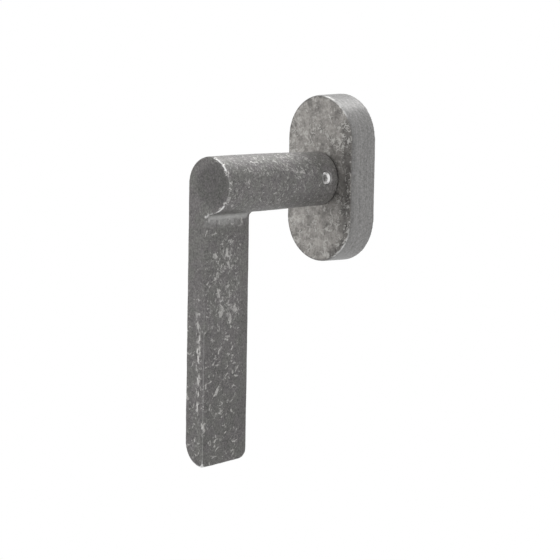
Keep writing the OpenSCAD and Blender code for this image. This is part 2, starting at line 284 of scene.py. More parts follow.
def tumbled_skin_tree():
    """Tree that softens a remeshed casting, stores how far its edges stand out and makes its faces uneven."""
    tree = bpy.data.node_groups.new("tumbled_skin", "GeometryNodeTree")
    group_input(tree, "Casting", "Geometry")
    group_input(tree, "Exact form", "Object")
    group_input(tree, "Softening passes", "Int", 1)
    group_input(tree, "Edge passes", "Int", 12)
    group_input(tree, "Wave length", "Float", 12 * MM)
    group_input(tree, "Wave depth", "Float", 0.1 * MM)
    group_input(tree, "Grain depth", "Float", 0.04 * MM)
    group_input(tree, "Running fit from", "Float", -13.5 * MM)
    group_input(tree, "Running fit", "Float", 0.1 * MM)
    group_input(tree, "Seed", "Float", 0.0)
    group_input(tree, "Finish", "Material")
    tree.interface.new_socket(name="Skin", in_out="OUTPUT", socket_type="NodeSocketGeometry")
    start = Wire(tree)
    given = start.node("NodeGroupInput", out="Casting")
    place = start.node("GeometryNodeInputPosition")
    normal = start.node("GeometryNodeInputNormal")

    def blurred(passes):
        """Each point's place after some passes of blur."""
        return start.node("GeometryNodeBlurAttribute", {"data_type": "FLOAT_VECTOR"},
                          {"Value": place, "Iterations": passes})

    def standing_out(passes):
        """How far each point stands out from its blurred surroundings, in millimetres."""
        back = place.vector("SUBTRACT", {0: place, 1: blurred(passes)})
        return back.vector("DOT_PRODUCT", {0: back, 1: normal}, "Value") / MM

    exact = start.node("GeometryNodeObjectInfo", None, {"Object": given.out("Exact form")}, "Geometry")
    nearest = start.node("GeometryNodeProximity", {"target_element": "FACES"}, {0: exact}, "Position")
    seated = start.node("GeometryNodeSetPosition", None, {"Geometry": given, "Position": nearest})
    soft = start.node("GeometryNodeSetPosition", None,
                      {"Geometry": seated, "Position": blurred(given.out("Softening passes"))})
    marked = stored(soft, "edge", standing_out(given.out("Edge passes")))
    marked = stored(marked, "facing", normal, "FLOAT_VECTOR")
    wave = start.node("ShaderNodeTexNoise", {"noise_dimensions": "4D"},
                      {"Vector": place, "W": given.out("Seed"), "Scale": 1 / given.out("Wave length"),
                       "Detail": 2.0, "Roughness": 0.45})
    grain = start.node("ShaderNodeTexNoise", {"noise_dimensions": "4D"},
                       {"Vector": place, "W": given.out("Seed"), "Scale": GRAIN_PER_METRE, "Detail": 1.0})
    sunk = wave.ramp(0.25, 0.75) * given.out("Wave depth")
    sunk = sunk + grain.ramp(0.35, 0.7) * given.out("Grain depth")
    depth = place.node("ShaderNodeSeparateXYZ", None, {"Vector": place}, "Y")
    hidden = depth.maths("GREATER_THAN", depth, given.out("Running fit from"))
    sunk = sunk * (1 - hidden) + hidden * given.out("Running fit")
    inwards = normal.vector("SCALE", {0: normal, "Scale": 0 - sunk})
    uneven = start.node("GeometryNodeSetPosition", None, {"Geometry": marked, "Offset": inwards})
    smooth = start.node("GeometryNodeSetShadeSmooth", None, {"Geometry": uneven})
    whole = start.node("GeometryNodeRealizeInstances", None, {"Geometry": smooth})
    done = start.node("GeometryNodeSetMaterial", None, {"Geometry": whole, "Material": given.out("Finish")})
    start.node("NodeGroupOutput", None, {"Skin": done})
    return tree


skin_tree = tumbled_skin_tree()
print("tumbled skin:", len(skin_tree.nodes), "nodes")

# %% [markdown]
# Three small helpers carry every piece made with nodes.
# The first copies a CAD node and joins its loose triangles, the second runs a tree on a mesh and keeps the
# result as a plain mesh, since the export knows nothing of modifiers' trees, and the third puts a piece on
# its body in place of the solid that it stands for.

# %% Copy, run and place
def joined_copy(node):
    """Mesh of a CAD node with its triangles joined."""
    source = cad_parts[node].data
    mesh = bpy.data.meshes.new(node + "_copy")
    mesh.from_pydata([v.co for v in source.vertices], [], [list(p.vertices) for p in source.polygons])
    work = bmesh.new()
    work.from_mesh(mesh)
    bmesh.ops.remove_doubles(work, verts=work.verts, dist=0.002 * MM)
    work.to_mesh(mesh)
    work.free()
    return mesh


def run_tree(name, mesh, tree, inputs, voxel=None):
    """Object whose mesh is what a geometry tree makes of another mesh."""
    piece = bpy.data.objects.new(name, mesh)
    scene.collection.objects.link(piece)
    if voxel:
        cut = piece.modifiers.new("even_squares", "REMESH")
        cut.mode, cut.voxel_size = "VOXEL", voxel
    making = piece.modifiers.new(tree.name, "NODES")
    making.node_group = tree
    sockets = {s.name: s.identifier for s in tree.interface.items_tree if s.in_out == "INPUT"}
    for key, value in inputs.items():
        making[sockets[key]] = value
    graph = bpy.context.evaluated_depsgraph_get()
    result = bpy.data.meshes.new_from_object(piece.evaluated_get(graph), preserve_all_data_layers=True,
                                             depsgraph=graph)
    piece.modifiers.clear()
    piece.data = result
    result.name = name
    bpy.data.meshes.remove(mesh)
    return piece


def stand_for(piece, node, body):
    """Puts a piece on its body in place of a CAD node."""
    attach(piece, body)
    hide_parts(node)
    low = [min(v.co[i] for v in piece.data.vertices) / MM for i in range(3)]
    high = [max(v.co[i] for v in piece.data.vertices) / MM for i in range(3)]
    print(piece.name, "has", sum(len(p.vertices) - 2 for p in piece.data.polygons), "triangles,",
          "from", [round(v, 2) for v in low], "to", [round(v, 2) for v in high])


print("solids to dress:", ", ".join(sorted(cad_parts)))

# %% [markdown]
# The finishes share a few parts, and the first are places and masks.
# A place is counted in millimetres from the origin. A mask is a ramp along x, y or z, or the distance from a
# point or an axis, and says where dirt, marks or wear lie on the real handle.
# It could be painted by hand, but a formula needs no image and can be changed by one number.

# %% Places and masks
def new_finish(name):
    """Empty material, with the wires that start its tree and give its place in millimetres."""
    material = bpy.data.materials.new(name)
    material.use_nodes = True
    material.node_tree.nodes.clear()
    start = Wire(material.node_tree)
    place = start.node("ShaderNodeTexCoord", out="Object")
    return material, start, place.vector("SCALE", {0: place, "Scale": 1 / MM})


def parts(vector):
    """The x, y and z of a vector."""
    split = vector.node("ShaderNodeSeparateXYZ", None, {"Vector": vector}, "X")
    return split, split.out("Y"), split.out("Z")


def shifted(place, x, y, z):
    """Place moved by some millimetres, so that two patterns of one noise don't match."""
    return place.vector("ADD", {0: place, 1: (x, y, z)})


def stretched(place, scale, turn=(0, 0, 0)):
    """Place turned and scaled, which makes a pattern long in one direction."""
    return place.node("ShaderNodeMapping", {"vector_type": "TEXTURE"},
                      {"Vector": place, "Rotation": [math.radians(v) for v in turn], "Scale": scale})


def flat(place):
    """Place seen along the spindle, with no depth."""
    return place.vector("MULTIPLY", {0: place, 1: (1, 0, 1)})


def near(place, point, inner, outer):
    """1 within the inner radius of a point and 0 past the outer one."""
    return place.vector("DISTANCE", {0: place, 1: point}, "Value").ramp(outer, inner)


def larger(first, *others):
    """The largest of some values."""
    for other in others:
        first = first.maths("MAXIMUM", first, other)
    return first


def off(value, middle):
    """How far a value is from its middle, either way."""
    return value.maths("ABSOLUTE", value - middle)


def attribute(start, name, out="Fac"):
    """A value that the geometry tree stored on the points."""
    return start.node("ShaderNodeAttribute", {"attribute_name": name}, out=out)


print("masks are made with", near.__name__, "and ramps, and joined with", larger.__name__)

# %% [markdown]
# Noise gives clouds of any width in millimetres.
# The peaks of a bent noise make torn flecks, and a thin band along the middle level of another makes curled
# scars. A share that varies with place decides where the marks crowd together.
# Every finish ends in the same kind of shader with a bump, since the finest grain is too small for the mesh.

# %% Noise, marks and the shader
FLECK_LEVELS = (0.655, 0.735)
SCAR_LEVELS = (0.56, 0.66)


def cloud(place, size, detail=2.0, rough=0.5, bend=0.0):
    """Noise whose patches are about as wide as the size in millimetres."""
    return place.node("ShaderNodeTexNoise", None, {"Vector": place, "Scale": 1 / size, "Detail": detail,
                                                   "Roughness": rough, "Distortion": bend})


def flecks(place, size, share):
    """Light torn flecks: the peaks of a bent noise, so that no two are alike."""
    return (cloud(place, size, detail=3.0, rough=0.6, bend=0.6) + share).ramp(*FLECK_LEVELS)


def scars(place, size, share, width=0.055):
    """Curled scars: a thin band along the middle of a bent noise, broken up by another noise."""
    broken = cloud(shifted(place, 13, 29, 5), size)
    band = off(cloud(place, size, detail=1.5, bend=0.8), 0.5).ramp(width, width * 0.2)
    return band * (broken + share).ramp(*SCAR_LEVELS)


def grey(tone, warm):
    """Grey of a tone, a little redder than it is blue."""
    return tone.node("ShaderNodeCombineColor", None, {"Red": tone * (1 + 1.2 * warm), "Green": tone,
                                                      "Blue": tone * (1 - 1.4 * warm)})


def finished(material, start, colour, metal, rough, height, strength=0.3, depth=0.03):
    """Joins the wires to a shader, with bumps of a depth in millimetres."""
    normal = start.node("ShaderNodeBump", None, {"Strength": strength, "Distance": depth * MM,
                                                 "Height": height})
    shader = start.node("ShaderNodeBsdfPrincipled", None, {"Base Color": colour, "Metallic": metal,
                                                           "Roughness": rough, "Normal": normal})
    start.node("ShaderNodeOutputMaterial", None, {"Surface": shader})
    print(material.name, "has", len(material.node_tree.nodes), "nodes")
    return material


print("flecks rise from level", FLECK_LEVELS[0], "and scars from", SCAR_LEVELS[0])

# %% [markdown]
# Both castings start alike.
# Their grey drifts over a centimetre, mottles over two millimetres and grains below one, because one colour
# would look like paint. The facing and the edge value were stored by the geometry tree, so the shader knows
# a front from a side and an edge from a face without any painted map.
# The end face, the foot, the neck's radius and the arm's inner side are measured on the lever's solid.

# %% What the castings share
CAST_BUMP = {"strength": 0.5, "depth": 0.08}


def cast_skin(name, front_facing, drift_size, mottle_size):
    """Start of a casting's finish: where a point lies, how it faces, and the noises that wear it."""
    material, start, place = new_finish(name)
    x, y, z = parts(place)
    _, facing_y, facing_z = parts(attribute(start, "facing", "Vector"))
    return SimpleNamespace(
        material=material, start=start, place=place, x=x, y=y, z=z, facing_z=facing_z,
        front=facing_y.ramp(*front_facing),
        edge=attribute(start, "edge"),
        drift=cloud(place, drift_size),
        mottle=cloud(shifted(place, 40, 7, 3), mottle_size, detail=4.0, rough=0.65),
        grain=cloud(place, 0.75, detail=3.0, rough=0.7),
        rub=cloud(shifted(place, 3, 9, 27), 2.2, detail=3.0, rough=0.65))


lever_low, lever_high = (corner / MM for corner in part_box("lever"))
ARM_THICKNESS = 9.5
END_Y = lever_low.y
FOOT_Z = lever_low.z
INNER_X = lever_low.x + ARM_THICKNESS
NECK_R = lever_high.x
print("lever: end face at y", round(END_Y, 2), "foot at z", round(FOOT_Z, 2), "neck radius", round(NECK_R, 2))

# %% [markdown]
# The light marks of the lever are chips, where stones broke the dark skin.
# They could be scattered evenly, but on the real piece they crowd: thick on the upper half of the arm's inner
# side, slanted and sparse low down, small and crisp on the neck, and hardly any on the upper front.
# So one sum gives the share of marked skin at each place, and most kinds of flecks use it.
# A fine pepper lies under them all, denser towards the neck's end.

# %% Light marks of the lever
MARKS_Z = -38


def lever_marks(cast):
    """Light marks on the lever's faces, from 0 to 1."""
    place, y, z = cast.place, cast.y, cast.z
    bare = larger(cast.front * z.ramp(-45, -12), y.ramp(-55, -51.5) * z.ramp(-11, -13))
    crowd = cloud(shifted(place, 11, 60, 5), 9).ramp(0.35, 0.7)
    thick = near(stretched(place, (1, 1, 2)), (INNER_X, END_Y + 11.5, MARKS_Z / 2), inner=4, outer=13)
    neck = z.ramp(-12, -10) * (1 - cast.front)
    top = z.ramp(1, 8) * y.ramp(-66, -60)
    share = crowd * 0.05 + thick * 0.056 + top * 0.02 + neck * 0.015 - bare * 0.12

    fine = flecks(shifted(place, 31, 17, 5), 1.1, share + neck * 0.02)
    broad = flecks(place, 2.8, share + thick * 0.02 + 0.018 - neck * 0.015)
    crisp = flecks(shifted(place, 5, 22, 71), 1.7, neck * (0.03 + top * 0.04) - (1 - neck) * 0.2)
    curled = scars(shifted(place, 7, 50, 50), 2.0, share + thick * 0.04 - 0.06)
    slanted = stretched(shifted(place, 2, 8, 40), (0.9, 0.9, 1.6), turn=(-40, 0, 0))
    low = flecks(slanted, 2.5, z.ramp(-40, -70) * 0.05 - bare * 0.1 - neck * 0.06)
    torn = cloud(shifted(place, 21, 4, 8), 0.6, rough=0.6).ramp(0.3, 0.6, 0.45, 1.0)
    marks = larger(fine * 0.55, curled * 0.55, broad * 0.78 * torn, low * 0.9 * torn, crisp * torn)
    dense = y.ramp(-48, -60) * z.ramp(-12, -10)
    pepper = cloud(shifted(place, 14, 33, 8), 0.8, rough=0.7).ramp(0.54, 0.74) * (0.2 + dense * 0.16)
    return larger(marks * (1 - neck * 0.2), pepper)


print("marks are thickest at z", MARKS_Z, "on the inner side, x", round(INNER_X, 2))

# %% [markdown]
# Hands and stones rub metal bright where it stands out.
# A broken strip runs down the arm's front, a torn band of chips lies beside the neck's round end, and thin
# bright lines follow some edges: wear round the neck's end above and below, and painted highlights along
# the arm's inner edge and its foot, at its lower tip and in the corner under the neck.
# The lines could be modelled as loose strips, but as a mask on the stored edge value they stay on the edge,
# whatever its rounding. The fillet below the neck has a painted highlight, a paler mottled band.

# %% Worn places and painted highlights of the lever
# Painted highlights sit at the arm's lower tip and in the corner under the neck, joined by a light line.
TIP_HIGHLIGHT = (INNER_X - 0.3, END_Y + 0.3, FOOT_Z + 0.27)
UNDER_NECK_HIGHLIGHT = (INNER_X - 0.2, END_Y + 0.2, -NECK_R - 0.9)
BESIDE_CORNER = (INNER_X + 0.8, END_Y + 0.2, -NECK_R - 0.4)


def rubbed_strip(cast):
    """Broken bright strip down the arm's front, strongest in the third quarter of its length."""
    across = off(cast.x + (cast.rub - 0.5) * 1.6, -4.5 - cast.z.ramp(-56, -42) * 2)
    torn = cloud(stretched(shifted(cast.place, 5, 5, 80), (0.8, 0.8, 1.9)), 1.2, detail=3.0, rough=0.7)
    reach = cast.z.ramp(-38, -64) * (1 - cast.z.ramp(-84, -90) * 0.55) * cast.z.ramp(-104, -96)
    return across.ramp(1.7, 0.3) * (torn - across * 0.06).ramp(0.45, 0.58) * reach * cast.front


def chipped_rim(cast):
    """Torn light band beside the round edge of the neck's end, on the side away from the arm."""
    beside_rim = 1 - near(flat(cast.place), (0, 0, 0), inner=8.2, outer=10.6)
    band = beside_rim * cast.y.ramp(-69.5, -72.6) * cast.x.ramp(-2, 5) * cast.z.ramp(-10.5, -8)
    return flecks(shifted(cast.place, 3, 41, 7), 1.3, band * 0.24 - 0.1) * band


def lever_wear_and_highlights(cast):
    """Wear round the neck's end, and painted highlights under the neck, on the inner edge, foot and tip."""
    x, z, rub = cast.x, cast.z, cast.rub
    ridge = cast.edge.ramp(0.19, 0.30)
    fore = cast.y.ramp(END_Y + 1.8, END_Y + 0.8)
    upper = z.ramp(4, 7) * x.ramp(0.5, 3)
    lower = z.ramp(-2.5, -6) * z.ramp(-12.4, -11.6) * x.ramp(-4, -2)
    # foot: a painted highlight along the arm's bottom edge.
    foot = z.ramp(-103, -106)
    weight = 0.05 + fore * (larger(upper, lower) * 0.9 + x.ramp(7, 10) * 0.12 + foot * 0.6)
    # inner: a painted highlight line down the arm's inner front edge.
    inner = fore * x.ramp(-3.5, -2.3) * z.ramp(-30, -70) * 0.24 + foot * 0.2
    wear_and_highlight = ridge * (weight * rub.ramp(0.34, 0.56) + inner * rub.ramp(0.2, 0.5))
    # corner, bridge and tip: painted highlights, broken up by the rub noise.
    corner = near(cast.place, UNDER_NECK_HIGHLIGHT, inner=0.1, outer=0.7) * 0.6
    bridge = near(cast.place, BESIDE_CORNER, inner=0.6, outer=1.5) * cast.edge.ramp(0.04, 0.16) * 0.5
    tip = near(cast.place, TIP_HIGHLIGHT, inner=0.2, outer=1.0)
    return larger(wear_and_highlight, larger(corner, bridge, tip) * rub.ramp(0.25, 0.45))


def fillet_highlight(cast):
    """Painted highlight in the fillet below the neck, fading down the arm and towards its back."""
    hollow = cast.edge.ramp(-0.02, -0.13) * cast.y.ramp(-46, -53) * cast.y.ramp(-73.4, -71.4)
    below = cast.z.ramp(-17.2, -13) * cast.z.ramp(-10.8, -11.5) * cast.x.ramp(-2.4, -1.9)
    below = below * cast.y.ramp(-49, -60) * cast.y.ramp(-74, -70, 0.5, 1.0)
    patchy = cast.mottle.ramp(0.3, 0.62, 0.25, 0.9)
    return larger(hollow * cast.z.ramp(-10.6, -11.8), below * patchy * 0.7) * (0.35 + cast.mottle)


print("worn tip at", [round(v, 2) for v in TIP_HIGHLIGHT], "and worn corner at", [round(v, 2) for v in UNDER_NECK_HIGHLIGHT])

# %% [markdown]
# The dark skin of the lever is oxide and oil on cast metal.
# Its grey is set from the sum of the three noises, darker on the neck's end face and low on the arm, and
# painted lighter on the neck beside the rose, where the rose shades it. A slow change of hue keeps it from
# looking printed.
# Then each kind of mark is mixed in with its own colour, bare metal and painted highlights last, and the
# bright ones are smoother and more metallic. The bore of the set screw shows some clean metal, painted
# bright as the glint of its wall.

# %% Finish of the lever
LEVER_TONE = 0.158
CHIPPED = (0.58, 0.57, 0.55, 1)
RUBBED = (0.66, 0.65, 0.63, 1)
FILLET_HIGHLIGHT = (0.52, 0.52, 0.51, 1)
BARE_METAL_AND_HIGHLIGHT = (0.78, 0.78, 0.77, 1)
REDDISH, GREENISH = (1.013, 0.987, 1.01, 1), (0.995, 1.008, 0.982, 1)
screw_low, screw_high = (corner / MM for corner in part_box("grub_screw"))
set_screw = {"y": (screw_low.y + screw_high.y) / 2, "radius": (screw_high.y - screw_low.y) / 2, "turn": 6}


def round_axis(place, screw):
    """How far a point is from a screw's axis, and how far along it, for an axis turned up from x."""
    turn = math.radians(screw["turn"])
    axis = (math.cos(turn), 0, math.sin(turn))
    from_axis = shifted(place, 0, -screw["y"], 0)
    beside = from_axis.vector("CROSS_PRODUCT", {0: from_axis, 1: axis})
    return (beside.vector("LENGTH", {0: beside}, "Value"),
            from_axis.vector("DOT_PRODUCT", {0: from_axis, 1: axis}, "Value"))


def tumbled_casting(screw):
    """Dark tumbled skin with chips, wear, painted highlights and a clean bore painted bright."""
    cast = cast_skin("tumbled_skin", front_facing=(-0.6, -0.95), drift_size=14, mottle_size=2.2)
    drift, mottle, grain = cast.drift - 0.5, cast.mottle - 0.5, cast.grain - 0.5
    dark_end = cast.front * near(flat(cast.place), (2, 0, 0), inner=6, outer=11)
    light = lever_marks(cast) * (0.4 + cast.mottle) * (1 - dark_end * 0.6)
    light = larger(light, chipped_rim(cast) * (0.3 + cast.mottle))
    strip = rubbed_strip(cast) * (0.35 + cast.mottle)
    aside = round_axis(cast.place, screw)[0] - screw["radius"]
    # Clean metal in the set screw's bore, painted bright as the glint of its wall.
    bore_metal_and_glint = aside.ramp(0.25, 0.1) * cast.x.ramp(7, 8) * 0.4
    wear_and_highlight = larger(lever_wear_and_highlights(cast) * aside.ramp(0.7, 1.7), bore_metal_and_glint)

    low = cast.z.ramp(-30, -85) * (1 - cast.front * 0.35)
    tone = LEVER_TONE * (1 + drift * 0.3 + mottle * 0.8 + grain * 2.0)
    # Painted light: the neck is lighter near the rose, where the rose shades it.
    tone = tone * (1 - dark_end * 0.3 - low * 0.15 + cast.y.ramp(-26, -13) * 0.5)
    hue = cloud(shifted(cast.place, 70, 20, 9), 5).ramp(0.35, 0.65)
    skin = cast.start.node("ShaderNodeMix", {"data_type": "RGBA", "blend_type": "MULTIPLY"},
                           {0: 1.0, 6: grey(tone, 0.019), 7: hue.tint(REDDISH, GREENISH)}, 2)
    colour = strip.tint(light.tint(skin, CHIPPED), RUBBED)
    colour = wear_and_highlight.tint(fillet_highlight(cast).tint(colour, FILLET_HIGHLIGHT), BARE_METAL_AND_HIGHLIGHT)
    light = larger(light, strip)
    metal = 0.55 + light * 0.25 + wear_and_highlight * 0.4
    rough = 0.54 + mottle * 0.14 - light * 0.1 - wear_and_highlight * 0.2
    height = cast.mottle * 0.6 + cast.grain * 0.4 - light * 0.3
    return finished(cast.material, cast.start, colour, metal, rough, height, **CAST_BUMP)


casting = tumbled_casting(set_screw)

# %% [markdown] The lever itself is now one run of the tree. The edge values that come out tell which
# numbers mean an edge: flat faces lie near 0, sharp edges above 0.2 and fillets below 0, and the masks
# above were set from them.

# %% Lever
SQUARES = 0.4 * MM
lever = run_tree("lever_casting", joined_copy("lever"), skin_tree,
                 {"Exact form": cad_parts["lever"], "Finish": casting, "Seed": 1.7,
                  "Wave depth": 0.1 * MM, "Wave length": 12 * MM}, SQUARES)
stand_for(lever, "lever", "lever_unit")
values = sorted(v.value for v in lever.data.attributes["edge"].data)
print("edge values:", [round(values[int(len(values) * s)], 3) for s in (0.01, 0.1, 0.5, 0.9, 0.99, 0.999)])

# %% [markdown]
# The rose is the same metal with two finishes.
# Its front was tumbled like the lever but is lighter and warmer, with light worm-like scars and dark pits.
# Soot gathers in a border down the right, and bigger chips shine through it. A thin dark line runs all round
# inside the edge. Beside the neck the front is darker, partly by soot and partly by a painted shadow of the
# neck. The distance in from the oval's outline places that border: an oval like this is the set of points at
# one distance from a straight line, here called its spine.

# %% Front of the rose
ROSE_TONE = 0.292
WORM_SCAR = (0.53, 0.52, 0.495, 1)
ROSE_CHIP = (0.57, 0.56, 0.54, 1)
rose_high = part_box("rose_cover")[1] / MM
ROSE_R = rose_high.x
HALF_SPINE = rose_high.z - rose_high.x


def in_from_outline(x, z):
    """How far a point of the rose's front lies in from the oval outline."""
    past_spine = larger(off(z, 0) - HALF_SPINE, 0)
    square = x * x + past_spine * past_spine
    return ROSE_R - square.maths("SQRT", square)


def rose_front(cast):
    """Colour of the rose's front."""
    place, x, z = cast.place, cast.x, cast.z
    inward = in_from_outline(x, z)
    # Beside the neck the front is darker, partly by soot and partly by a painted shadow of the neck.
    beside_neck = near(flat(place), (0, 0, 0), inner=12, outer=18.5) * x.ramp(3, 9)
    border = inward.ramp(4.75, 1.45) * x.ramp(2, 8) * z.ramp(29, 22)
    margin = larger(x.ramp(8, 14.5) * z.ramp(-28, -16) * z.ramp(28, 20), border) * z.ramp(26, 18, 0.5, 1.0)
    soot_and_shade = larger(beside_neck * 0.22, margin * 0.48) * (0.4 + cast.drift * 1.2)
    soot_and_shade = larger(soot_and_shade, inward.ramp(1.65, 0.65) * 0.45)

    worm = larger(scars(shifted(place, 9, 2, 51), 2.4, share=0.07, width=0.045),
                  scars(shifted(place, 18, 44, 61), 3.6, share=0.05, width=0.05))
    right = x.ramp(6, 11) * z.ramp(26, 22) * z.ramp(-23, -18)
    curl = scars(shifted(place, 4, 3, 17), 2.8, share=0.05, width=0.04) * right
    chip = flecks(shifted(place, 8, 30, 2), 2.1, border * z.ramp(14, 6) * 0.11 - 0.02)
    patch = cloud(shifted(place, 3, 80, 12), 4.5, bend=0.5) - 0.5
    pit = cloud(shifted(place, 61, 5, 8), 1.8, detail=3.0, rough=0.6).ramp(0.48, 0.34)
    drift, mottle, grain = cast.drift - 0.5, cast.mottle - 0.5, cast.grain - 0.5
    # Painted light: the front is lighter low down, where less light falls on it.
    tone = ROSE_TONE + z.ramp(-12, -24) * 0.03
    tone = tone * (1 + drift * 0.7 + patch * 1.1 + mottle * 1.1 + grain * 0.9)
    tone = tone * (1 - pit * 0.3) * (1 - soot_and_shade)
    face = (worm * 0.8).tint(grey(tone, 0.04), WORM_SCAR)
    return (larger(curl * 0.85, chip) * 0.85).tint(face, ROSE_CHIP)


print("rose radius", round(ROSE_R, 2), "mm, half spine", round(HALF_SPINE, 2), "mm")

# %% [markdown]
# The sides of the rose were ground round the rim, so fine lines run along them under the grain.
# They could be cut into the mesh, but most are finer than its squares, so they are a noise that is
# stretched thirty times along the rim and squeezed to half across it.
# The front edge has a painted dark reflection along it and painted highlights in two places: over the top
# on the right and low on the right.
# Which skin shows where comes from the stored facing. The sides are painted darker where they face straight
# up, a painted shade that tones down the overhead lamp there.

# %% Finish of the rose
SIDE_TONE = 0.238
SPECKLED_HIGHLIGHT = (0.5, 0.5, 0.49, 1)
DARK_RIM_REFLECTION = (0.12, 0.118, 0.115, 1)
RIM_HIGHLIGHT = (0.80, 0.80, 0.79, 1)


def ground_sides(cast, lines):
    """Colour of the rose's sides."""
    ground = SIDE_TONE * (1 + (lines - 0.5) * 0.8 + (cast.mottle - 0.5) * 0.6 + (cast.grain - 0.5) * 1.6)
    shade = cast.y.ramp(-8.5, -12.5) * cast.z.ramp(24, 12) * cast.z.ramp(-28, -18)
    # Painted shade: the sides are darker where they face straight up.
    side = grey(ground * (1 - cast.facing_z.ramp(0.7, 1.0) * 0.3) * (1 - shade * 0.15), 0.012)
    # Light specks on the top of the rim, painted as its speckled highlight.
    speckled_highlight = flecks(shifted(cast.place, 17, 3, 3), 1.0, cast.z.ramp(18, 30) * 0.1 - 0.06)
    return (speckled_highlight * 0.5).tint(side, SPECKLED_HIGHLIGHT)


def tumbled_rose():
    """Tumbled front, ground sides and an edge with a painted dark reflection and painted highlights."""
    cast = cast_skin("rose_skin", front_facing=(-0.55, -0.9), drift_size=7, mottle_size=1.9)
    front, x, z = cast.front, cast.x, cast.z
    lines = cloud(stretched(cast.place, (30, 0.5, 30)), 1.0, detail=3.0, rough=0.6)
    # The edge's bright places are painted highlights, and elsewhere it is painted dark as a dark reflection.
    ridge = cast.edge.ramp(0.175, 0.25)
    upper = x.ramp(0.5, 3) * z.ramp(22, 27)
    lower = x.ramp(6, 9) * z.ramp(-19, -23) * 0.8
    wear_and_highlight = ridge * larger(upper * 0.85, lower) * cast.rub.ramp(0.26, 0.5) * cast.y.ramp(-9, -11)
    dark_rim_reflection = ridge * (1 - larger(upper, lower)) * 0.6
    colour = dark_rim_reflection.tint(front.tint(ground_sides(cast, lines), rose_front(cast)), DARK_RIM_REFLECTION)
    colour = wear_and_highlight.tint(colour, RIM_HIGHLIGHT)
    metal = 0.6 + wear_and_highlight * 0.35
    rough = 0.5 + (cast.mottle - 0.5) * 0.12 * front - (1 - front) * 0.08 - wear_and_highlight * 0.2
    height = front * (cast.mottle * 0.6 + cast.grain * 0.4) + (1 - front) * (lines + cast.grain) * 0.25
    return finished(cast.material, cast.start, colour, metal, rough, height, **CAST_BUMP)


rose_finish = tumbled_rose()

# %% [markdown]
# The rose runs through the same tree as the lever, with a longer and flatter wave, because its front is a
# broad plane on which a deep wave would show as a dent. It stands still, so no running fit is needed, and
# that input is set to a depth that the rose doesn't reach.

# %% Rose
rose = run_tree("rose_casting", joined_copy("rose_cover"), skin_tree,
                {"Exact form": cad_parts["rose_cover"], "Finish": rose_finish, "Seed": 4.2,
                 "Wave depth": 0.08 * MM, "Wave length": 15 * MM, "Running fit from": 1.0}, SQUARES)
stand_for(rose, "rose_cover", "rose_unit")

# %% [markdown]
# The set screw is bright, but its key socket holds old oil, painted darker deeper down as shade, and the
# side away from the rose is painted darker as the shade of the bore's near wall.
# The socket's walls could be a second material on picked faces. A mask is simpler: the shader measures how
# far a point is from the screw's axis and how deep it lies under the end face, and darkens it by both.

# %% Finish of the set screw
SCREW_TONE = 0.78
SCREW_SIDE_SHADE = (0.16, 0.158, 0.155, 1)
OIL_FILM, OIL_IN_SHADE = (0.7, 0.695, 0.685, 1), (0.46, 0.457, 0.45, 1)


def oiled_set_screw(screw, end, socket):
    """Bright screw with old oil in its socket, and painted shade deep in the socket and on one side."""
    material, start, place = new_finish("oiled_set_screw")
    aside, along = round_axis(place, screw)
    oil = aside.ramp(socket + 0.15, socket - 0.15) * along.ramp(end - 0.4, end - 0.7)
    # Painted shade: the oil is darker deeper in the socket.
    socket_shade = along.ramp(end - 1.2, end - 2.6)
    # Painted shade: the side away from the rose, which the bore's near wall shades, is darker.
    darkening = parts(place)[1].ramp(screw["y"] - 1.0, screw["y"] - 2.0) * 0.75
    scratch = cloud(place, 0.5, detail=3.0, rough=0.6)
    tint = darkening.tint(grey(SCREW_TONE + (scratch - 0.5) * 0.4, 0.005), SCREW_SIDE_SHADE)
    tint = (oil * 0.9).tint(tint, socket_shade.tint(OIL_FILM, OIL_IN_SHADE))
    rough = 0.34 + oil * 0.3 + (scratch - 0.5) * 0.1
    return finished(material, start, tint, 1 - oil * 0.7, rough, scratch)


oiled = oiled_set_screw(set_screw, end=10.05, socket=1.45)

# %% [markdown]
# The small pieces keep their exact solids, which are already right, and get finishes of their own.
# Turned and drawn steel shows fine lines, a zinc casting shows a soft grain, and nylon is nearly black with
# a faint moulding texture. One function makes all the metals: the lines are a noise, stretched along the
# direction in which the piece was drawn or rolled.

# %% Finishes of the small pieces
NYLON, DUSTY_NYLON = (0.03, 0.03, 0.031, 1), (0.06, 0.06, 0.061, 1)


def fine_metal(name, colour, rough, lines, strength, metal=1.0):
    """Metal with fine lines: lines gives how long the pattern is along x, y and z."""
    material, start, place = new_finish(name)
    streak = cloud(stretched(place, lines), 0.6, detail=3.0, rough=0.6)
    dull = cloud(place, 5, detail=3.0) - 0.5
    shade = 1 + (streak - 0.5) * strength + dull * 0.3
    tint = start.node("ShaderNodeCombineColor", None,
                      {"Red": shade * colour[0], "Green": shade * colour[1], "Blue": shade * colour[2]})
    return finished(material, start, tint, metal + dull * 0.1, rough + dull * 0.12, streak)


def moulded_nylon():
    """Black nylon with a pebbled skin and a little dust."""
    material, start, place = new_finish("black_nylon")
    pebble = cloud(place, 0.4)
    dust = cloud(place, 3).ramp(0.4, 0.7)
    rough = 0.45 + (pebble - 0.5) * 0.2
    return finished(material, start, dust.tint(NYLON, DUSTY_NYLON), 0.0, rough, pebble, depth=0.04)


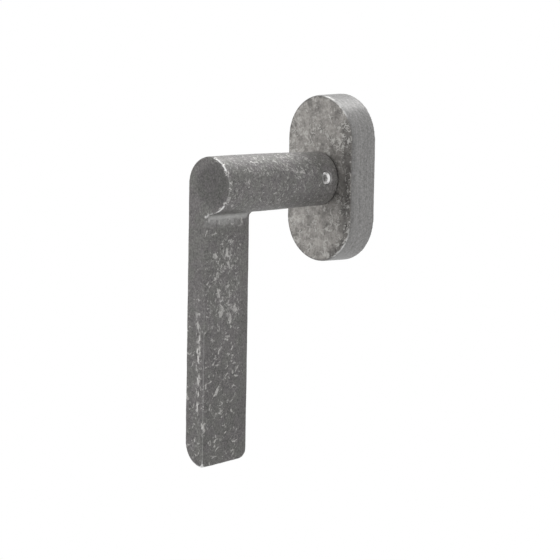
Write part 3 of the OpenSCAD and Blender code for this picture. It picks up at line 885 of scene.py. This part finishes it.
plating = fine_metal("bright_plating", (0.5, 0.51, 0.51), rough=0.36, lines=(1, 1, 1), strength=0.2)
steel = fine_metal("drawn_steel", (0.42, 0.42, 0.41), rough=0.36, lines=(0.6, 14, 0.6), strength=0.35)
blued = fine_metal("blued_strip", (0.20, 0.21, 0.24), rough=0.32, lines=(0.6, 0.6, 12), strength=0.3)
zinc = fine_metal("zinc_grain", (0.42, 0.43, 0.44), 0.5, lines=(1.4, 1.4, 1.4), strength=0.35, metal=0.85)
nylon = moulded_nylon()
small_pieces = {
    "grub_screw": oiled, "plate_screws": plating, "base_plate": zinc,
    "spindle": steel, "drive_hub": steel, "retaining_plate": steel,
    "leaf_spring_left": blued, "leaf_spring_right": blued,
    "neck_bush": nylon, "thrust_washer": nylon,
}
for name, finish in small_pieces.items():
    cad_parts[name].data.materials.clear()
    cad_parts[name].data.materials.append(finish)
print("dressed in place:", ", ".join(small_pieces))

# %% [markdown]
# The two fixing screws stand out of the back, so they get real threads.
# In the solids a thread is a plain cylinder, which is right for fits and collisions. A thread is a strip
# of surface rolled round an axis: a flat grid gives one direction round the screw and one along it, and the
# radius rises and falls with the distance along minus the turn round, which makes a helix. The grid is
# rolled up once in nodes and set at both screws' places on a line of two points. The nodes also store how
# deep in the groove each point lies, and the finish darkens it there.

# %% Geometry tree of the threads
FLANK = 2.6
SHARP_ANGLE = 0.6


def rolled_thread(start, given):
    """One screw's thread about the y axis: a grid rolled up, with its groove stored on its points."""
    grid = start.node("GeometryNodeMeshGrid", None, {
        "Size X": 1.0, "Size Y": 1.0, "Vertices X": given.out("Around"),
        "Vertices Y": given.out("Rows")}, "Mesh")
    across, up, _ = parts(start.node("GeometryNodeInputPosition"))
    round_share, long_share = across + 0.5, up + 0.5
    along = long_share * given.out("Length") + given.out("Start")
    climb = along / given.out("Pitch") - round_share
    slope = climb.maths("PINGPONG", climb, 0.5) * FLANK
    groove = slope.maths("MINIMUM", slope, 1)
    to_tip = given.out("Start") + given.out("Length") - along
    radius = given.out("Radius") - groove * given.out("Groove")
    radius = radius.maths("MINIMUM", radius, given.out("Shank radius") + along)
    radius = radius.maths("MINIMUM", radius, given.out("Tip radius") + to_tip)
    from_middle = off(long_share, 0.5)
    radius = radius * from_middle.maths("LESS_THAN", from_middle, 0.4999)
    angle = round_share * math.tau
    rolled = start.node("ShaderNodeCombineXYZ", None, {
        "X": radius * angle.maths("SINE", angle), "Y": along, "Z": radius * angle.maths("COSINE", angle)})
    thread = stored(grid, "groove", groove)
    thread = start.node("GeometryNodeSetPosition", None, {"Geometry": thread, "Position": rolled})
    return start.node("GeometryNodeMergeByDistance", None, {"Geometry": thread, "Distance": 0.001 * MM})


def threaded_screws_tree():
    """Tree that adds a right-hand thread to each of two heads, which lie on a line up the rose."""
    tree = bpy.data.node_groups.new("threaded_screws", "GeometryNodeTree")
    group_input(tree, "Heads", "Geometry")
    group_input(tree, "Around", "Int", 37)
    group_input(tree, "Rows", "Int", 150)
    group_input(tree, "Start", "Float", -0.1 * MM)
    group_input(tree, "Length", "Float", 11.7 * MM)
    group_input(tree, "Shank radius", "Float", 2.2 * MM)
    group_input(tree, "Radius", "Float", 2.48 * MM)
    group_input(tree, "Groove", "Float", 0.45 * MM)
    group_input(tree, "Pitch", "Float", 0.8 * MM)
    group_input(tree, "Tip radius", "Float", 1.7 * MM)
    group_input(tree, "Spacing", "Float", 43 * MM)
    group_input(tree, "Finish", "Material")
    tree.interface.new_socket(name="Screws", in_out="OUTPUT", socket_type="NodeSocketGeometry")
    start = Wire(tree)
    given = start.node("NodeGroupInput", out="Heads")
    step = start.node("ShaderNodeCombineXYZ", None, {"Z": given.out("Spacing")})
    first = start.node("ShaderNodeCombineXYZ", None, {"Z": given.out("Spacing") * -0.5})
    places = start.node("GeometryNodeMeshLine", None, {"Count": 2, "Start Location": first, "Offset": step})
    pair = start.node("GeometryNodeInstanceOnPoints", None,
                      {"Points": places, "Instance": rolled_thread(start, given)})
    whole = start.node("GeometryNodeJoinGeometry", None, {"Geometry": pair})
    tree.links.new(given.socket, whole.socket.node.inputs["Geometry"])
    whole = start.node("GeometryNodeRealizeInstances", None, {"Geometry": whole})
    smooth = start.node("GeometryNodeSetShadeSmooth", {"domain": "FACE"}, {"Geometry": whole})
    bend = start.node("GeometryNodeInputMeshEdgeAngle", out="Unsigned Angle")
    sharp = bend.maths("GREATER_THAN", bend, SHARP_ANGLE)
    crisp = start.node("GeometryNodeSetShadeSmooth", {"domain": "EDGE"},
                       {"Geometry": smooth, "Selection": sharp, "Shade Smooth": False})
    done = start.node("GeometryNodeSetMaterial", None, {"Geometry": crisp, "Material": given.out("Finish")})
    start.node("NodeGroupOutput", None, {"Screws": done})
    return tree


thread_tree = threaded_screws_tree()
print("threaded screws:", len(thread_tree.nodes), "nodes")

# %% [markdown]
# Head and shank of a fixing screw are cut from the solid, so that they seat in the base plate as they did.
# They could be drawn again, but a cut at the back of the rose keeps the countersink and the key socket exact.
# The plating is bright on the thread's crests and dark in its grooves, by the value that the tree stored.

# %% Fixing screws
THREAD_TONE = 0.38
GROOVE_DARK = (0.06, 0.058, 0.055, 1)


def heads_and_shanks(end):
    """Copy of the fixing screws cut off at a depth y and closed."""
    mesh = joined_copy("fixing_screws")
    work = bmesh.new()
    work.from_mesh(mesh)
    cut = bmesh.ops.bisect_plane(work, geom=work.verts[:] + work.edges[:] + work.faces[:], dist=0.0001 * MM,
                                 plane_co=(0, end, 0), plane_no=(0, 1, 0), clear_outer=True)["geom_cut"]
    bmesh.ops.edgeloop_fill(work, edges=[e for e in cut if isinstance(e, bmesh.types.BMEdge)])
    bmesh.ops.recalc_face_normals(work, faces=work.faces)
    work.to_mesh(mesh)
    work.free()
    return mesh


def plated_thread():
    """Plating that is bright on the crests and dark in the grooves."""
    material, start, place = new_finish("plated_thread")
    darkening = attribute(start, "groove").ramp(0.35, 1.0)
    dull = cloud(place, 1.5, detail=3.0, rough=0.6)
    tint = (darkening * 0.9).tint(grey(THREAD_TONE + (dull - 0.5) * 0.3, -0.006), GROOVE_DARK)
    rough = 0.44 + darkening * 0.2 + (dull - 0.5) * 0.1
    return finished(material, start, tint, 1 - darkening * 0.3, rough, dull)


screws = run_tree("threaded_screws", heads_and_shanks(-0.02 * MM), thread_tree, {"Finish": plated_thread()})
stand_for(screws, "fixing_screws", "rose_unit")

# %% [markdown]
# Every skin moved inwards, so each dressed piece is the same size as its solid or a hair smaller.
